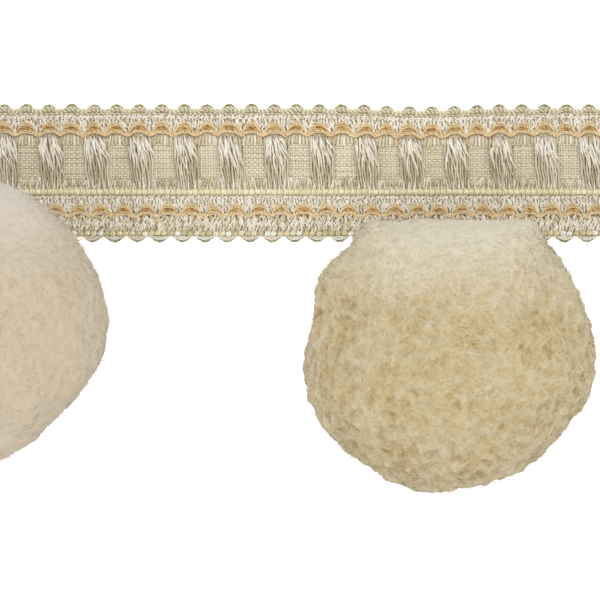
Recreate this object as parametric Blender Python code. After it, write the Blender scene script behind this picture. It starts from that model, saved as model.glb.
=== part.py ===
"""Pompom fringe trim: a woven heading with two cut-pile pompoms tied to its lower edge.

The trim lies face up on a flat surface. X runs along the heading, Y points across it to the
free upper edge, Z points up, and the origin is the centre of the heading's back. Metres.
"""

import math
import random

import bmesh
import bpy
from mathutils import Matrix, Vector

# Driving dimensions.
POMPOM_SPACING = 0.1016
LENGTH = 2 * POMPOM_SPACING
SCALLOP_PITCH = 0.00486
FLOSS_PITCH = 2 * SCALLOP_PITCH
CLEARANCE = 0.0003
BACK = 0.0
GROUND_TOP = 0.0010
BAND_TOP = 0.0015
LAID_ON = GROUND_TOP + CLEARANCE

# The ground tape across its width: where each zone begins and ends, and how high it is.
TAPE_ZONES = (
    # low edge, high edge, top
    (-0.0129, -0.01055, BAND_TOP),
    (-0.01055, -0.00625, GROUND_TOP),
    (-0.00625, -0.0053, BAND_TOP),
    (-0.0053, 0.01145, GROUND_TOP),
    (0.01145, 0.0124, BAND_TOP),
)
TAPE_STATIONS = 28

# The scalloped edgings: the straight inner edge, the dips and the tips of the scallops.
PICOT_THICKNESS = 0.0013
PICOT_ROUNDNESS = 1.5
PICOT_STATIONS = 5
PICOTS = {
    # name: inner edge, dip, tip, phase along X
    "upper_picot": (0.0127, 0.0132, 0.0149, -0.00064),
    "lower_picot": (-0.0132, -0.0139, -0.0150, -0.00107),
}

# The serpentine cords: centre line, and the phase of the humps along X.
WAVE_AMPLITUDE = 0.00135
WAVE_CORD_WIDTH = 0.0010
WAVE_CORD_HEIGHT = 0.0010
WAVE_CROWN = 0.55
WAVE_STATIONS = 8
WAVE_CORDS = {
    "upper_wave_cord": (0.0093, -0.00064),
    "lower_wave_cord": (-0.0084, 0.00088),
}

# The chain rib: its swelling stitches, along the middle of the heading.
RIB_CENTRE = -0.0042
RIB_WIDTH = 0.0016
RIB_HEIGHT = 0.0008
RIB_SWELL = 0.12
RIB_STITCH = SCALLOP_PITCH / 3

# The floss bars, from the chain rib up to the upper serpentine cord.
FLOSS_BARS = 20
FLOSS_THREADS = 4
FLOSS_LEAN = -0.06
FLOSS_VALLEY = 0.72
FLOSS_SECTIONS = (
    # y, width, height
    (-0.0031, 0.0044, 0.0007),
    (-0.0008, 0.0050, 0.0013),
    (0.0026, 0.0054, 0.0016),
    (0.0053, 0.0050, 0.0013),
    (0.0071, 0.0040, 0.0007),
)

# The dip in the upper border of the tape, where the weave has been pulled down a little.
SAG_DEPTH = 0.0005
SAG_CENTRE = 0.0465
SAG_SPREAD = 0.013
SAG_FROM, SAG_FULL = -0.002, 0.008

# The least run, in steps of a repeat, between a cut end and the first inner place.
END_MARGIN = 0.2

# The pompoms: their outline seen from above, at every 15 degrees from +X towards +Y.
CENTRE_HEIGHT = 0.0268
HALF_HEIGHT = 0.0290
CORE_RADIUS = 0.0205
LOCKS_PER_SIDE = 5
LOCK_GAP_AT_ROOT = 0.0011
LOCK_FILL_AT_TIP = 0.85
LOCK_CROWN = 0.0007
LOCK_LENGTH_SPREAD = 0.0006
CORNER_SPREAD = 0.07
POMPOMS = {
    "left": {
        "centre": (-POMPOM_SPACING / 2, -0.0314),
        "seed": 5,
        "outline": (
            0.0304, 0.0298, 0.0293, 0.0290, 0.0292, 0.0296,
            0.0298, 0.0300, 0.0299, 0.0295, 0.0296, 0.0300,
            0.0302, 0.0298, 0.0294, 0.0298, 0.0303, 0.0306,
            0.0308, 0.0309, 0.0295, 0.0285, 0.0291, 0.0306,
        ),
    },
    "right": {
        "centre": (POMPOM_SPACING / 2, -0.0393),
        "seed": 8,
        "outline": (
            0.0299, 0.0300, 0.0296, 0.0306, 0.0312, 0.0294,
            0.0284, 0.0294, 0.0314, 0.0307, 0.0304, 0.0295,
            0.0300, 0.0309, 0.0307, 0.0289, 0.0283, 0.0287,
            0.0278, 0.0273, 0.0282, 0.0274, 0.0276, 0.0302,
        ),
    },
}

# The cord that ties each pompom's core to the lower edge of the heading.
TIE_RADIUS = 0.0009
TIE_SIDES = 8
TIE_END_HEIGHT = 0.00095

# Colours are linear; roughness is the same for all the yarns but the floss.
YARNS = {
    "ground": ((0.62, 0.53, 0.36), 0.75),
    "picot": ((0.55, 0.49, 0.30), 0.75),
    "wave_cord": ((0.66, 0.44, 0.19), 0.70),
    "rib": ((0.72, 0.66, 0.38), 0.70),
    "floss": ((0.80, 0.76, 0.67), 0.35),
    "pile": ((0.66, 0.55, 0.36), 0.95),
    "tie": ((0.70, 0.60, 0.42), 0.80),
}


def yarn(slot):
    """The plain material of one kind of yarn."""
    colour, roughness = YARNS[slot]
    material = bpy.data.materials.new(slot)
    material.use_nodes = True
    shader = material.node_tree.nodes["Principled BSDF"]
    shader.inputs["Base Color"].default_value = (*colour, 1.0)
    shader.inputs["Roughness"].default_value = roughness
    shader.inputs["Metallic"].default_value = 0.0
    return material


def add_object(name, bm, material):
    """A named object from a bmesh, with its faces pointing out."""
    bmesh.ops.recalc_face_normals(bm, faces=bm.faces[:])
    mesh = bpy.data.meshes.new(name)
    bm.to_mesh(mesh)
    bm.free()
    mesh.materials.append(material)
    made = bpy.data.objects.new(name, mesh)
    bpy.context.scene.collection.objects.link(made)
    return made


def sagged(x, y, z):
    """A point of the heading, moved to where the pulled weave puts it."""
    share = min(max((y - SAG_FROM) / (SAG_FULL - SAG_FROM), 0.0), 1.0)
    drop = SAG_DEPTH * math.exp(-(((x - SAG_CENTRE) / SAG_SPREAD) ** 2))
    return Vector((x, y - share * drop, z))


def swept(sections):
    """A closed bmesh: one face, extruded from each section of points to the next."""
    bm = bmesh.new()
    first = face = bm.faces.new([bm.verts.new(point) for point in sections[0]])
    for section in sections[1:]:
        grown = bmesh.ops.extrude_face_region(bm, geom=[face])["geom"]
        if face is not first:
            bm.faces.remove(face)
        face = next(part for part in grown if isinstance(part, bmesh.types.BMFace))
        for vert, point in zip(face.verts, section):
            vert.co = point
    return bm


def along(per_pitch, pitch, phase):
    """Places along X at even steps of a repeat, with both cut ends of the heading."""
    step = pitch / per_pitch
    first = math.ceil((-LENGTH / 2 - phase) / step + END_MARGIN)
    last = math.floor((LENGTH / 2 - phase) / step - END_MARGIN)
    inner = [phase + step * count for count in range(first, last + 1)]
    return [-LENGTH / 2, *inner, LENGTH / 2]


def tape_section(x):
    """The stepped section of the ground tape at one place along it."""
    low, high = TAPE_ZONES[0][0], TAPE_ZONES[-1][1]
    steps = [(y, top) for start, end, top in TAPE_ZONES for y in (start, end)]
    return [sagged(x, y, z) for y, z in [(low, BACK), *steps, (high, BACK)]]


def build_tape():
    places = [LENGTH * (count / TAPE_STATIONS - 0.5) for count in range(TAPE_STATIONS + 1)]
    add_object("heading_tape", swept([tape_section(x) for x in places]), yarn("ground"))


def picot_edge(name, x):
    """How far the scalloped edge reaches at x: round tips, with round dips between them."""
    _, dip, tip, phase = PICOTS[name]
    wave = abs(math.cos(math.pi * (x - phase) / SCALLOP_PITCH))
    return dip + (tip - dip) * wave ** PICOT_ROUNDNESS


def build_picot(name, material):
    inner, _, _, phase = PICOTS[name]
    sections = []
    for x in along(PICOT_STATIONS, SCALLOP_PITCH, phase):
        outer = picot_edge(name, x)
        corners = [(inner, BACK), (inner, PICOT_THICKNESS), (outer, PICOT_THICKNESS), (outer, BACK)]
        sections.append([sagged(x, y, z) for y, z in corners])
    add_object(name, swept(sections), material)


def build_wave_cord(name, material):
    """A cord laid in a wave: wider across where it slants, so that it keeps its thickness."""
    centre, phase = WAVE_CORDS[name]
    turn = 2 * math.pi / SCALLOP_PITCH
    sections = []
    for x in along(WAVE_STATIONS, SCALLOP_PITCH, phase):
        middle = centre + WAVE_AMPLITUDE * math.cos(turn * (x - phase))
        slope = -WAVE_AMPLITUDE * turn * math.sin(turn * (x - phase))
        half = WAVE_CORD_WIDTH / 2 * math.hypot(1, slope)
        top = LAID_ON + WAVE_CORD_HEIGHT
        corners = [
            (middle - half, LAID_ON),
            (middle - half * WAVE_CROWN, top),
            (middle + half * WAVE_CROWN, top),
            (middle + half, LAID_ON),
        ]
        sections.append([sagged(x, y, z) for y, z in corners])
    add_object(name, swept(sections), material)


def build_chain_rib():
    sections = []
    for x in along(2, RIB_STITCH, 0.0):
        swell = 1 + RIB_SWELL * math.cos(2 * math.pi * x / RIB_STITCH)
        half = RIB_WIDTH / 2 / (1 + RIB_SWELL) * swell
        top = LAID_ON + RIB_HEIGHT * swell
        corners = [
            (RIB_CENTRE - half, LAID_ON),
            (RIB_CENTRE - half / 2, top),
            (RIB_CENTRE + half / 2, top),
            (RIB_CENTRE + half, LAID_ON),
        ]
        sections.append([sagged(x, y, z) for y, z in corners])
    add_object("chain_rib", swept(sections), yarn("rib"))


def floss_section(bar_x, y, width, height):
    """The ridged half-round section of a floss bar, one ridge for each thread."""
    points = []
    for step in range(2 * FLOSS_THREADS + 1):
        across = step / FLOSS_THREADS - 1
        ridge = 1.0 if step % 2 else FLOSS_VALLEY
        z = LAID_ON + height * ridge * math.sqrt(1 - across * across)
        points.append(sagged(bar_x + FLOSS_LEAN * y + across * width / 2, y, z))
    return points


def build_floss_bars(material):
    for count in range(FLOSS_BARS):
        bar_x = FLOSS_PITCH * (count - (FLOSS_BARS - 1) / 2)
        bm = swept([floss_section(bar_x, *row) for row in FLOSS_SECTIONS])
        add_object(f"floss_bar_{count + 1:02d}", bm, material)


def outline_radius(outline, direction):
    """The pompom's radius seen from above, eased between the rows of its outline."""
    turn = math.atan2(direction.y, direction.x) / (2 * math.pi) * len(outline)
    row = math.floor(turn)
    ease = (1 - math.cos(math.pi * (turn - row))) / 2
    here, after = outline[row % len(outline)], outline[(row + 1) % len(outline)]
    return here + (after - here) * ease


def pile_reach(outline, direction, longer):
    """How far a lock reaches from the pompom's centre, shorter where it meets the floor."""
    across = math.hypot(direction.x, direction.y) / outline_radius(outline, direction)
    reach = 1 / math.hypot(across, direction.z / HALF_HEIGHT) + longer
    if direction.z * reach < -CENTRE_HEIGHT:
        reach = -CENTRE_HEIGHT / direction.z
    return reach


def tie_ends(side):
    """Where a pompom's tie leaves the core and where it meets the lower picot edging."""
    x, y = POMPOMS[side]["centre"]
    heart = Vector((x, y, CENTRE_HEIGHT))
    edge = min(picot_edge("lower_picot", x + shift * TIE_RADIUS) for shift in (-1, 0, 1))
    end = Vector((x, edge - CLEARANCE - TIE_RADIUS, TIE_END_HEIGHT))
    direction = (end - heart).normalized()
    return heart + direction * (CORE_RADIUS + CLEARANCE), end, direction


def build_pompom(side, material):
    """A core with its cut locks: each face of a square-celled ball grows into one lock.

    The ball's +Z cell is turned to face the tie, and grows no lock.
    """
    pompom = POMPOMS[side]
    outline = pompom["outline"]
    chance = random.Random(pompom["seed"])
    heart = Vector((*pompom["centre"], CENTRE_HEIGHT))
    tie_side = tie_ends(side)[2]
    turn = Vector((0, 0, 1)).rotation_difference(tie_side).to_matrix()

    bm = bmesh.new()
    bmesh.ops.create_cube(bm, size=2)
    bmesh.ops.subdivide_edges(bm, edges=bm.edges[:], cuts=LOCKS_PER_SIDE - 1, use_grid_fill=True)
    cell = math.pi / 2 / LOCKS_PER_SIDE
    for vert in bm.verts:
        even = Vector(math.tan(part * math.pi / 4) for part in vert.co).normalized()
        stray = Vector(chance.uniform(-1, 1) for _ in range(3)) * CORNER_SPREAD * cell
        vert.co = turn @ (even + stray).normalized()

    tie_cell = max(bm.faces, key=lambda face: face.calc_center_median().normalized().dot(tie_side))
    roots = [face for face in bm.faces if face is not tie_cell]
    tips = {}
    for face in roots:
        middle = face.calc_center_median().normalized()
        longer = chance.uniform(-1, 1) * LOCK_LENGTH_SPREAD
        corners = [middle.lerp(vert.co, LOCK_FILL_AT_TIP).normalized() for vert in face.verts]
        tips[face] = (middle, longer, corners)

    bmesh.ops.scale(bm, vec=(CORE_RADIUS,) * 3, verts=bm.verts[:])
    bmesh.ops.inset_individual(bm, faces=roots, thickness=LOCK_GAP_AT_ROOT, use_even_offset=True)
    for face in roots:
        middle, longer, corners = tips[face]
        grown = bmesh.ops.extrude_discrete_faces(bm, faces=[face])["faces"][0]
        for vert, corner in zip(grown.verts, corners):
            vert.co = corner * pile_reach(outline, corner, longer)
        crown = bmesh.ops.poke(bm, faces=[grown])["verts"][0]
        crown.co = middle * pile_reach(outline, middle, longer + LOCK_CROWN)
    bmesh.ops.translate(bm, vec=heart, verts=bm.verts[:])
    add_object(f"pompom_{side}", bm, material)


def build_tie(side, material):
    start, end, direction = tie_ends(side)
    slant = direction.to_track_quat("Z", "Y").to_matrix().to_4x4()
    bm = bmesh.new()
    bmesh.ops.create_cone(
        bm,
        cap_ends=True,
        segments=TIE_SIDES,
        radius1=TIE_RADIUS,
        radius2=TIE_RADIUS,
        depth=(end - start).length,
        matrix=Matrix.Translation((start + end) / 2) @ slant,
    )
    add_object(f"tie_{side}", bm, material)


def clear_scene():
    for old in list(bpy.data.objects):
        bpy.data.objects.remove(old, do_unlink=True)


def build():
    clear_scene()
    build_tape()
    picot = yarn("picot")
    for name in PICOTS:
        build_picot(name, picot)
    wave_cord = yarn("wave_cord")
    for name in WAVE_CORDS:
        build_wave_cord(name, wave_cord)
    build_chain_rib()
    build_floss_bars(yarn("floss"))
    pile, tie = yarn("pile"), yarn("tie")
    for side in POMPOMS:
        build_pompom(side, pile)
        build_tie(side, tie)


build()
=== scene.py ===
# %% [markdown]
# # A pompom fringe trim, yarn by yarn
#
# The trim is a woven heading with two cut-pile pompoms tied to its lower edge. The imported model
# gives every piece its place, so it is loaded first and its box is kept: the dressed trim must
# end up the same size. The lengths below are in millimetres, because yarns are millimetre things,
# and a mesh is brought to metres only when it is made.

# %% Load the frame
import math

import bmesh
import bpy
import numpy as np
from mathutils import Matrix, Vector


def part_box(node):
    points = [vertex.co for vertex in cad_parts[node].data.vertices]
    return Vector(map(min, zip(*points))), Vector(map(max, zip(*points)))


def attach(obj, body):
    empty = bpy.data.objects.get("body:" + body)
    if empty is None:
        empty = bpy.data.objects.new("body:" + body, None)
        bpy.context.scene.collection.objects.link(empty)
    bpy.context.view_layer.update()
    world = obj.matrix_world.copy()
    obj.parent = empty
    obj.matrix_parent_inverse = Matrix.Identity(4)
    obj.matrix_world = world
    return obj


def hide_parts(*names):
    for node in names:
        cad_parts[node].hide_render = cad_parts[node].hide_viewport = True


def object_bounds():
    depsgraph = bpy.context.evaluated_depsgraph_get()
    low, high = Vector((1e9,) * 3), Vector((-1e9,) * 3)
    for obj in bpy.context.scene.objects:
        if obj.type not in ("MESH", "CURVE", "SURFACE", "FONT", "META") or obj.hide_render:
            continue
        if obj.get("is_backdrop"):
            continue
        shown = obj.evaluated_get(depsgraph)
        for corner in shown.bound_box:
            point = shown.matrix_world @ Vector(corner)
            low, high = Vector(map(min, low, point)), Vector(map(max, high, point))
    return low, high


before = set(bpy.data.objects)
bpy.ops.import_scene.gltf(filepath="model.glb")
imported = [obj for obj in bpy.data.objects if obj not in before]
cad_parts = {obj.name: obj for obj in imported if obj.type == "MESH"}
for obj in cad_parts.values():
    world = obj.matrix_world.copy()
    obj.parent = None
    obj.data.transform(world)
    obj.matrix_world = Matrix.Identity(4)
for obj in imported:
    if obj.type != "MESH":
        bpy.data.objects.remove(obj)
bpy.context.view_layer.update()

MM = 0.001
UP = np.array([0.0, 0.0, 1.0])
chance = np.random.default_rng(41)

tape_low, tape_high = (np.array(corner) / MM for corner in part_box("heading_tape"))
HALF_LENGTH = tape_high[0]
print("heading", np.round(tape_high - tape_low, 1), "mm")

# %% [markdown]
# ## The camera
#
# The photograph was taken from straight above with a long lens, close enough that the heading
# runs out of the picture on both sides. A 200 mm lens on a 36 mm sensor does the same from
# 0.72 m. The camera looks down its own -Z axis, so it needs no turning at all.

# %% Camera
LENS = 200
CAMERA_HEIGHT = 0.721
VIEW_CENTRE = (0.0195, -0.0275)

camera = bpy.data.objects.new("camera", bpy.data.cameras.new("camera"))
camera.data.lens = LENS
camera.data.sensor_width = 36
camera.location = (*VIEW_CENTRE, CAMERA_HEIGHT)
bpy.context.scene.collection.objects.link(camera)
bpy.context.scene.camera = camera
print("camera", LENS, "mm lens,", CAMERA_HEIGHT, "m up")

# %% [markdown]
# ## Floor and light
#
# The trim lies on a bright white table. The floor glows a little as well as reflecting, as a
# light table does, so the shadows stay faint. The light is broad and soft and comes mostly from
# the far side, which is the top of the picture, and the standard view keeps white white.

# %% Floor
FLOOR_SIZE = 3.0
FLOOR_GLOW = 0.55

bm = bmesh.new()
bmesh.ops.create_grid(bm, x_segments=1, y_segments=1, size=FLOOR_SIZE / 2)
floor_mesh = bpy.data.meshes.new("floor")
bm.to_mesh(floor_mesh)
bm.free()
floor = bpy.data.objects.new("floor", floor_mesh)
bpy.context.scene.collection.objects.link(floor)
floor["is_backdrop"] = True

white = bpy.data.materials.new("white_table")
white.use_nodes = True
shader = white.node_tree.nodes["Principled BSDF"]
shader.inputs["Base Color"].default_value = (0.90, 0.90, 0.90, 1)
shader.inputs["Roughness"].default_value = 0.9
shader.inputs["Emission Color"].default_value = (1, 1, 1, 1)
shader.inputs["Emission Strength"].default_value = FLOOR_GLOW
floor_mesh.materials.append(white)
print("floor", FLOOR_SIZE, "m square")

# %% Lights
WORLD_STRENGTH = 0.70
LIGHTS = {
    # name: place, width, power in watts
    "window_light": ((0.05, 0.45, 0.85), 0.60, 2.6),
    "fill_light": ((-0.35, -0.45, 0.70), 0.60, 2.0),
    "side_light": ((0.55, -0.10, 0.55), 0.45, 0.9),
}

world = bpy.data.worlds.new("studio")
world.use_nodes = True
world.node_tree.nodes["Background"].inputs["Color"].default_value = (1.0, 1.0, 1.0, 1)
world.node_tree.nodes["Background"].inputs["Strength"].default_value = WORLD_STRENGTH
bpy.context.scene.world = world

for name, (place, width, power) in LIGHTS.items():
    lamp = bpy.data.objects.new(name, bpy.data.lights.new(name, "AREA"))
    lamp.data.size = width
    lamp.data.energy = power
    lamp.location = place
    lamp.rotation_euler = (-lamp.location).to_track_quat("-Z", "Y").to_euler()
    lamp.visible_camera = False
    bpy.context.scene.collection.objects.link(lamp)
bpy.context.scene.view_settings.view_transform = "Standard"
print("lights", ", ".join(LIGHTS))

# %% [markdown]
# ## Bending one tube into many yarns
#
# The heading is made of several thousand yarns. Extruding each one by hand would be slow, so a
# straight tube is modelled once with bmesh operators (a capped cylinder with its upright edges
# subdivided) and copies of it are bent along their paths, as an Array and a Curve modifier would
# do it. The copies are then joined into one mesh. Each point keeps three numbers in an attribute
# called `strand`, the cosine and sine of its place round the yarn and its place along it, so
# that a material can draw the twist without any seam, and a `tint` that picks its colour.

# %% A template: the bare arrays of a small bmesh
def template(bm):
    points = np.array([vert.co[:] for vert in bm.verts])
    corners = [[vert.index for vert in face.verts] for face in bm.faces]
    bm.free()
    return points, np.concatenate(corners), np.array([len(face) for face in corners])


def tube_template(rings, sides):
    """A capped tube of radius 1 with its rings at z = 0, 1, 2 and so on."""
    bm = bmesh.new()
    bmesh.ops.create_cone(
        bm, cap_ends=True, segments=sides, radius1=1, radius2=1, depth=rings - 1
    )
    bmesh.ops.translate(bm, vec=(0, 0, (rings - 1) / 2), verts=bm.verts[:])
    upright = [edge for edge in bm.edges if abs(edge.verts[0].co.z - edge.verts[1].co.z) > 0.5]
    if rings > 2:
        bmesh.ops.subdivide_edges(bm, edges=upright, cuts=rings - 2)
    bm.verts.index_update()
    return template(bm)


def unit(vectors):
    """The same directions, each of length 1."""
    return vectors / np.maximum(np.linalg.norm(vectors, axis=-1, keepdims=True), 1e-9)


# %% The sag of the upper border, where the weave has been pulled down a little
SAG_DEPTH, SAG_CENTRE, SAG_SPREAD = 0.5, 46.5, 13.0
SAG_FROM, SAG_FULL = -2.0, 8.0


def sagged(points):
    """The points, moved down where the border sags."""
    moved = np.array(points, float)
    share = np.clip((moved[..., 1] - SAG_FROM) / (SAG_FULL - SAG_FROM), 0, 1)
    moved[..., 1] -= share * SAG_DEPTH * np.exp(-(((moved[..., 0] - SAG_CENTRE) / SAG_SPREAD) ** 2))
    return moved


# %% The skein: it collects copies and joins them into one piece
class Skein:
    def __init__(self):
        self.points, self.corners, self.sizes = [], [], []
        self.strands, self.tints = [], []
        self.count = 0

    def add(self, shape, points, strands, tints):
        """Adds copies of a template: points and strands are copies x points x 3."""
        _, corners, sizes = shape
        copies, each = points.shape[:2]
        first = self.count + each * np.arange(copies)
        self.corners.append((first[:, None] + corners).ravel())
        self.sizes.append(np.tile(sizes, copies))
        self.points.append(points.reshape(-1, 3))
        self.strands.append(strands.reshape(-1, 3))
        self.tints.append(np.broadcast_to(tints, (copies, each)).ravel())
        self.count += copies * each

    def wind(self, paths, across, thick=None, tint=0.5, sides=6):
        """Adds a tube along each path. Paths are yarns x rings x 3; across and thick are the
        half widths sideways and upwards, and the tint is one number, or one a yarn or ring."""
        paths = sagged(paths)
        yarns, rings = paths.shape[:2]
        shape = tube_template(rings, sides)
        ring = np.rint(shape[0][:, 2]).astype(int)
        ahead = unit(np.gradient(paths, axis=1))
        side = unit(np.cross(UP, ahead))
        lift = np.cross(ahead, side)
        spread = [
            np.broadcast_to(np.asarray(half, float), (yarns, rings))[:, ring, None]
            for half in (across, across if thick is None else thick)
        ]
        x, y = shape[0][:, 0, None], shape[0][:, 1, None]
        points = paths[:, ring] + side[:, ring] * spread[0] * x + lift[:, ring] * spread[1] * y
        steps = np.linalg.norm(np.diff(paths, axis=1, prepend=paths[:, :1]), axis=2)
        along = np.cumsum(steps, axis=1)[:, ring]
        strands = np.stack(np.broadcast_arrays(x[:, 0], y[:, 0], along), axis=2)
        tints = np.asarray(tint, float)
        tints = tints[:, None] if tints.ndim == 1 else tints
        self.add(shape, points, strands, np.broadcast_to(tints, (yarns, rings))[:, ring])

    def piece(self, name, material):
        """All the copies as one mesh and one object."""
        mesh = bpy.data.meshes.new(name)
        points, corners = np.concatenate(self.points), np.concatenate(self.corners)
        sizes = np.concatenate(self.sizes)
        mesh.vertices.add(len(points))
        mesh.vertices.foreach_set("co", (points * MM).astype(np.float32).ravel())
        mesh.loops.add(len(corners))
        mesh.loops.foreach_set("vertex_index", corners.astype(np.int32))
        mesh.polygons.add(len(sizes))
        mesh.polygons.foreach_set("loop_start", (np.cumsum(sizes) - sizes).astype(np.int32))
        mesh.update(calc_edges=True)
        strand = mesh.attributes.new("strand", "FLOAT_VECTOR", "POINT")
        strand.data.foreach_set("vector", np.concatenate(self.strands).astype(np.float32).ravel())
        tint = mesh.attributes.new("tint", "FLOAT", "POINT")
        tint.data.foreach_set("value", np.concatenate(self.tints).astype(np.float32))
        return finished(name, mesh, material)


def finished(name, mesh, material, smooth=True):
    """The mesh in its material, put into the scene as a piece that rides on the trim."""
    if smooth:
        mesh.shade_smooth()
    mesh.materials.append(material)
    piece = bpy.data.objects.new(name, mesh)
    bpy.context.scene.collection.objects.link(piece)
    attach(piece, "root")
    print(f"{name}: {sum(len(face.vertices) - 2 for face in mesh.polygons)} triangles")
    return piece


# %% The plies of a yarn, from its one path
def plied(paths, radius, turns, plies=2, phase=0.0):
    """Splits each path into plies that wind round it; turns are per millimetre."""
    steps = np.linalg.norm(np.diff(paths, axis=1, prepend=paths[:, :1]), axis=2)
    along = np.cumsum(steps, axis=1)
    ahead = unit(np.gradient(paths, axis=1))
    side = unit(np.cross(UP, ahead))
    lift = np.cross(ahead, side)
    wound = []
    for ply in range(plies):
        turn = 2 * np.pi * (along * turns + ply / plies) + np.reshape(phase, (-1, 1))
        turn = turn[..., None]
        wound.append(paths + radius * (side * np.cos(turn) + lift * np.sin(turn)))
    return np.concatenate(wound)


# %% [markdown]
# ## Yarn that shows its twist
#
# Every yarn is spun and plied, and what the eye reads as "thread" is the slanting groove between
# the plies. One material recipe draws it: the angle round the yarn (the arctangent of the
# `strand` numbers) plus the way along it, run through a sine, gives slanting stripes that are
# both a bump and a slight darkening, which is painted shade in the grooves. A stretched noise adds
# the fibres, and the `tint` runs through a colour ramp, so one material serves yarns of several
# colours.

# %% Colours and small node helpers
def dye(red, green, blue):
    """A colour given as a dyer's card has it, 0 to 255, as the shader wants it."""
    return (*(((part / 255 + 0.055) / 1.055) ** 2.4 for part in (red, green, blue)), 1.0)


def add_node(tree, kind, settings=(), **inputs):
    node = tree.nodes.new(kind)
    for name, value in dict(settings).items():
        setattr(node, name, value)
    for name, value in inputs.items():
        socket = node.inputs[name.replace("_", " ")]
        if isinstance(value, bpy.types.NodeSocket):
            tree.links.new(value, socket)
        else:
            socket.default_value = value
    return node


def calc(tree, operation, *values):
    """The result of a Math node; each value is a number or another node's output."""
    node = tree.nodes.new("ShaderNodeMath")
    node.operation = operation
    for socket, value in zip(node.inputs, values):
        if isinstance(value, bpy.types.NodeSocket):
            tree.links.new(value, socket)
        else:
            socket.default_value = value
    return node.outputs[0]


def ramp(tree, factor, stops):
    """A colour ramp with a stop for each place: colour."""
    node = add_node(tree, "ShaderNodeValToRGB", Fac=factor)
    elements = node.color_ramp.elements
    while len(elements) < len(stops):
        elements.new(1.0)
    for element, (place, colour) in zip(elements, sorted(stops.items())):
        element.position = place
        element.color = colour
    return node.outputs["Color"]


# %% The yarn recipe
def yarn_material(name, stops, plies=2, turns=0.9, groove_shade=0.35, rough=0.6, sheen=0.2, depth=0.05,
                  coat=0.0):
    """turns are the turns of twist per millimetre, and depth is the relief in millimetres."""
    material = bpy.data.materials.new(name)
    material.use_nodes = True
    tree = material.node_tree
    shader = tree.nodes["Principled BSDF"]
    shader.inputs["Roughness"].default_value = rough
    shader.inputs["Sheen Weight"].default_value = sheen
    shader.inputs["Sheen Roughness"].default_value = 0.4
    shader.inputs["Coat Weight"].default_value = coat

    strand = add_node(tree, "ShaderNodeAttribute", {"attribute_name": "strand"})
    tint = add_node(tree, "ShaderNodeAttribute", {"attribute_name": "tint"})
    place = add_node(tree, "ShaderNodeSeparateXYZ", Vector=strand.outputs["Vector"])
    angle = calc(tree, "ARCTAN2", place.outputs["Y"], place.outputs["X"])
    round_part = calc(tree, "MULTIPLY", angle, plies)
    along_part = calc(tree, "MULTIPLY", place.outputs["Z"], 2 * math.pi * turns * plies)
    twist = calc(tree, "SINE", calc(tree, "ADD", round_part, along_part))
    rise = calc(tree, "MULTIPLY_ADD", twist, 0.5, 0.5)

    stretch = add_node(tree, "ShaderNodeVectorMath", {"operation": "MULTIPLY"})
    tree.links.new(strand.outputs["Vector"], stretch.inputs[0])
    stretch.inputs[1].default_value = (3.0, 3.0, 1.2)
    fibres = add_node(tree, "ShaderNodeTexNoise", Vector=stretch.outputs[0], Scale=2.0, Detail=3.0)
    blotch = add_node(tree, "ShaderNodeTexNoise", Scale=160.0, Detail=2.0)
    tree.links.new(
        add_node(tree, "ShaderNodeTexCoord").outputs["Object"], blotch.inputs["Vector"]
    )

    stray = calc(tree, "MULTIPLY_ADD", blotch.outputs["Fac"], 0.24, -0.12)
    colour = ramp(tree, calc(tree, "ADD", tint.outputs["Fac"], stray), stops)
    # painted light and shade: the base colour is darker along the grooves between the plies and a little
    # lighter on their crowns
    shade = calc(tree, "MULTIPLY_ADD", rise, groove_shade, 1.0 - 0.6 * groove_shade)
    fleck = calc(tree, "MULTIPLY_ADD", fibres.outputs["Fac"], 0.30, 0.85)
    toned = add_node(tree, "ShaderNodeHueSaturation", Color=colour)
    tree.links.new(calc(tree, "MULTIPLY", shade, fleck), toned.inputs["Value"])
    tree.links.new(toned.outputs["Color"], shader.inputs["Base Color"])

    height = calc(tree, "MULTIPLY_ADD", fibres.outputs["Fac"], 0.5, rise)
    bump = add_node(tree, "ShaderNodeBump", Height=height, Strength=0.9, Distance=depth * MM)
    tree.links.new(bump.outputs["Normal"], shader.inputs["Normal"])
    return material


# %% The yarns of the trim
floss_yarn = yarn_material(
    "satin_floss",
    {
        0.0: dye(172, 153, 118),
        0.35: dye(206, 191, 160),
        0.7: dye(236, 226, 204),
        1.0: dye(253, 249, 240),
    },
    turns=-0.35, groove_shade=0.16, rough=0.4, sheen=0.1, coat=0.1,
)
weft_yarn = yarn_material(
    "weft_silk",
    {
        0.0: dye(186, 164, 126),
        0.3: dye(212, 196, 162),
        0.6: dye(234, 223, 198),
        0.85: dye(252, 247, 233),
        1.0: dye(248, 232, 216),
    },
    turns=1.0, groove_shade=0.2, rough=0.5, sheen=0.15,
)
ground_yarn = yarn_material(
    "ground_cotton",
    {0.0: dye(184, 167, 134), 0.5: dye(224, 212, 182), 1.0: dye(247, 240, 220)},
    turns=1.3, groove_shade=0.2, rough=0.7,
)
gold_yarn = yarn_material(
    "golden_cord",
    {
        0.0: dye(168, 114, 56),
        0.25: dye(208, 162, 98),
        0.5: dye(228, 197, 136),
        0.75: dye(248, 231, 182),
        1.0: dye(242, 214, 178),
    },
    turns=0.6, groove_shade=0.35, rough=0.5, depth=0.05,
)
edge_yarn = yarn_material(
    "picot_yarn",
    {
        0.0: dye(136, 126, 92),
        0.35: dye(196, 184, 138),
        0.65: dye(232, 220, 176),
        0.85: dye(248, 245, 232),
        1.0: dye(232, 212, 184),
    },
    turns=0.9, groove_shade=0.35, rough=0.5,
)
rib_yarn = yarn_material(
    "chain_yarn",
    {0.0: dye(184, 168, 118), 0.5: dye(232, 221, 174), 1.0: dye(250, 244, 222)},
    turns=1.0, groove_shade=0.3, rough=0.55,
)
tie_yarn = yarn_material(
    "tie_yarn", {0.0: dye(196, 178, 140), 1.0: dye(236, 224, 196)}, turns=0.5, groove_shade=0.4, rough=0.7
)

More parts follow.
